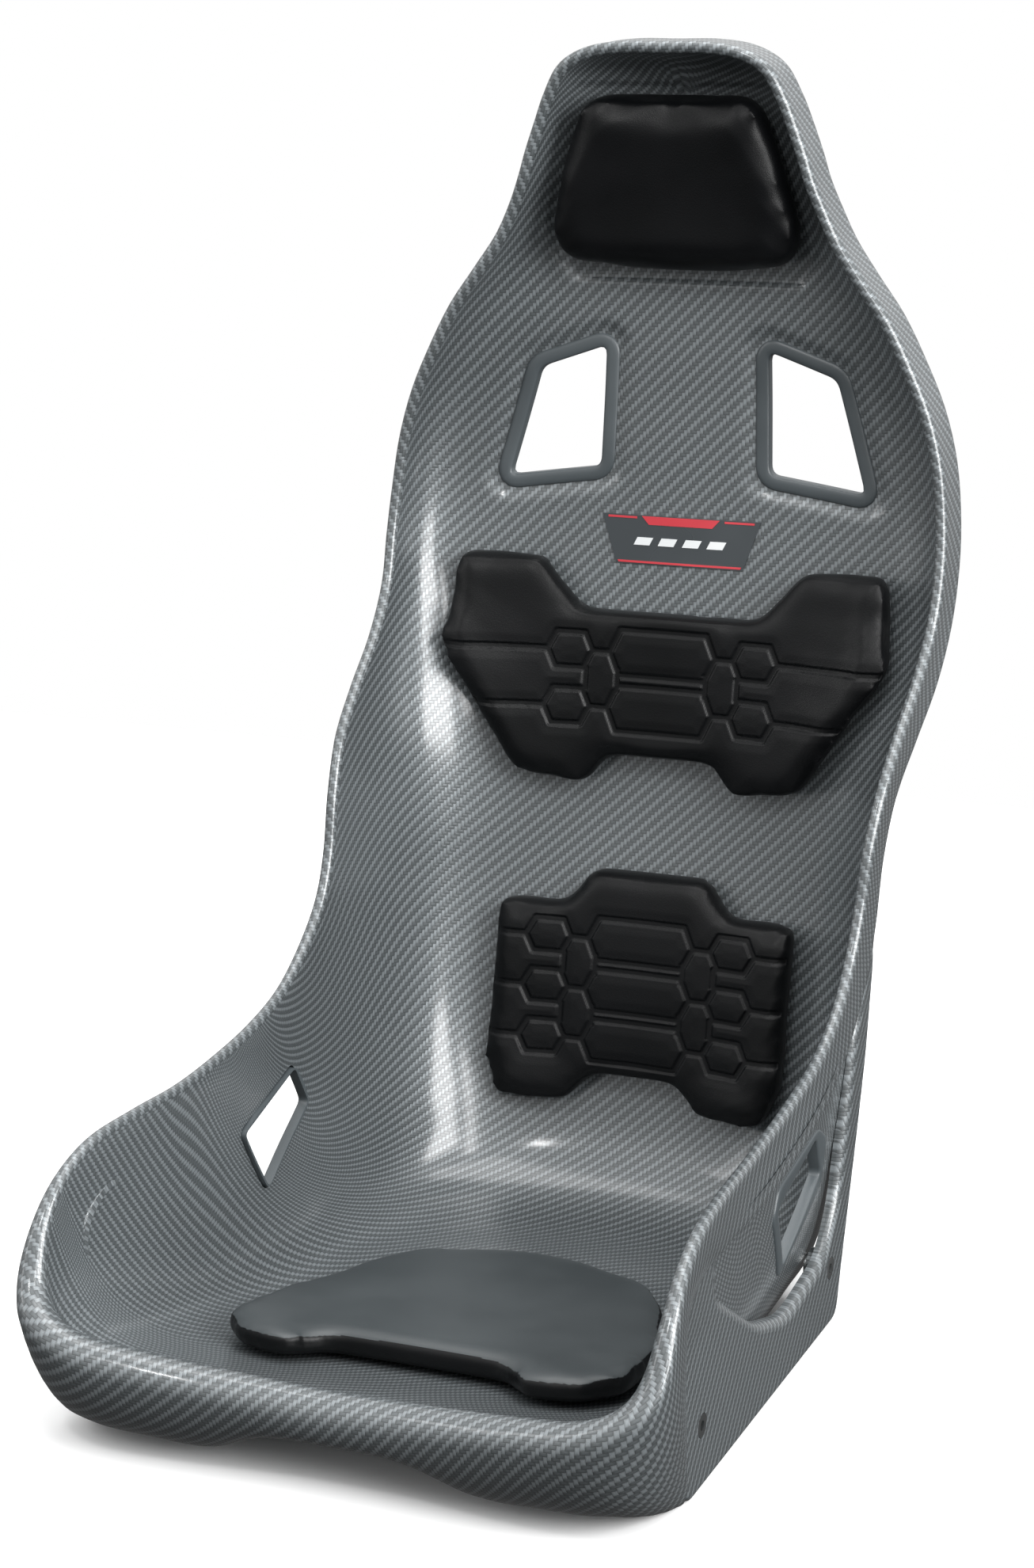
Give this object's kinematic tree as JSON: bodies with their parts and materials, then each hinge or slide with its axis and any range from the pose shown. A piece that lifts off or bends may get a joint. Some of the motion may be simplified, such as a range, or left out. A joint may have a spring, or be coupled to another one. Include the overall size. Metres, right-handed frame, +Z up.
{
  "type": "racing seat",
  "caption": "Fixed-back carbon-fibre bucket racing seat with removable head, shoulder, lumbar and seat pads and harness slots.",
  "frame": {"origin": "on the floor, under the middle of the seat's bounding box", "axes": "+Z up, the sitter faces -Y, +X is the sitter's left"},
  "size_m": [0.456, 0.6888, 0.8953],
  "materials": {
    "carbon_laminate": "clear-coated 2x2 twill carbon fibre in epoxy",
    "smooth_frame": "smooth satin grey gelcoat",
    "insert_steel": "turned and zinc plated",
    "badge": "gloss black with red bars",
    "pad_leather": "fine-grained, embossed",
    "pad_foam": "open-cell foam",
    "hook_and_loop": "woven hook-and-loop tape"
  },
  "bodies": {
    "seat": {"seat_shell": "carbon_laminate", "pedestal_side_left": "carbon_laminate", "pedestal_side_right": "carbon_laminate", "harness_bezel_left": "smooth_frame", "harness_bezel_right": "smooth_frame", "lap_slot_trim_left": "smooth_frame", "lap_slot_trim_right": "smooth_frame", "side_inserts_left": "insert_steel", "side_inserts_right": "insert_steel", "badge_plate": "badge", "head_hook_patch": "hook_and_loop", "shoulder_hook_patch": "hook_and_loop", "lumbar_hook_patch": "hook_and_loop", "cushion_hook_patch": "hook_and_loop"},
    "head_pad": {"head_pad_cover": "pad_leather", "head_pad_foam": "pad_foam", "head_pad_loop": "hook_and_loop"},
    "shoulder_pad": {"shoulder_pad_cover": "pad_leather", "shoulder_pad_foam": "pad_foam", "shoulder_pad_loop": "hook_and_loop"},
    "lumbar_pad": {"lumbar_pad_cover": "pad_leather", "lumbar_pad_foam": "pad_foam", "lumbar_pad_loop": "hook_and_loop"},
    "seat_cushion": {"cushion_cover": "pad_leather", "cushion_foam": "pad_foam", "cushion_loop": "hook_and_loop"}
  },
  "joints": [
    {"name": "head_pad_pull", "type": "slide", "parent": "seat", "child": "head_pad", "axis": [0, -1, 0], "range_m": [0, 0.06]},
    {"name": "shoulder_pad_pull", "type": "slide", "parent": "seat", "child": "shoulder_pad", "axis": [0, -1, 0], "range_m": [0, 0.06]},
    {"name": "lumbar_pad_pull", "type": "slide", "parent": "seat", "child": "lumbar_pad", "axis": [0, -1, 0], "range_m": [0, 0.06]},
    {"name": "seat_cushion_pull", "type": "slide", "parent": "seat", "child": "seat_cushion", "axis": [0, 0, 1], "range_m": [0, 0.06]}
  ]
}
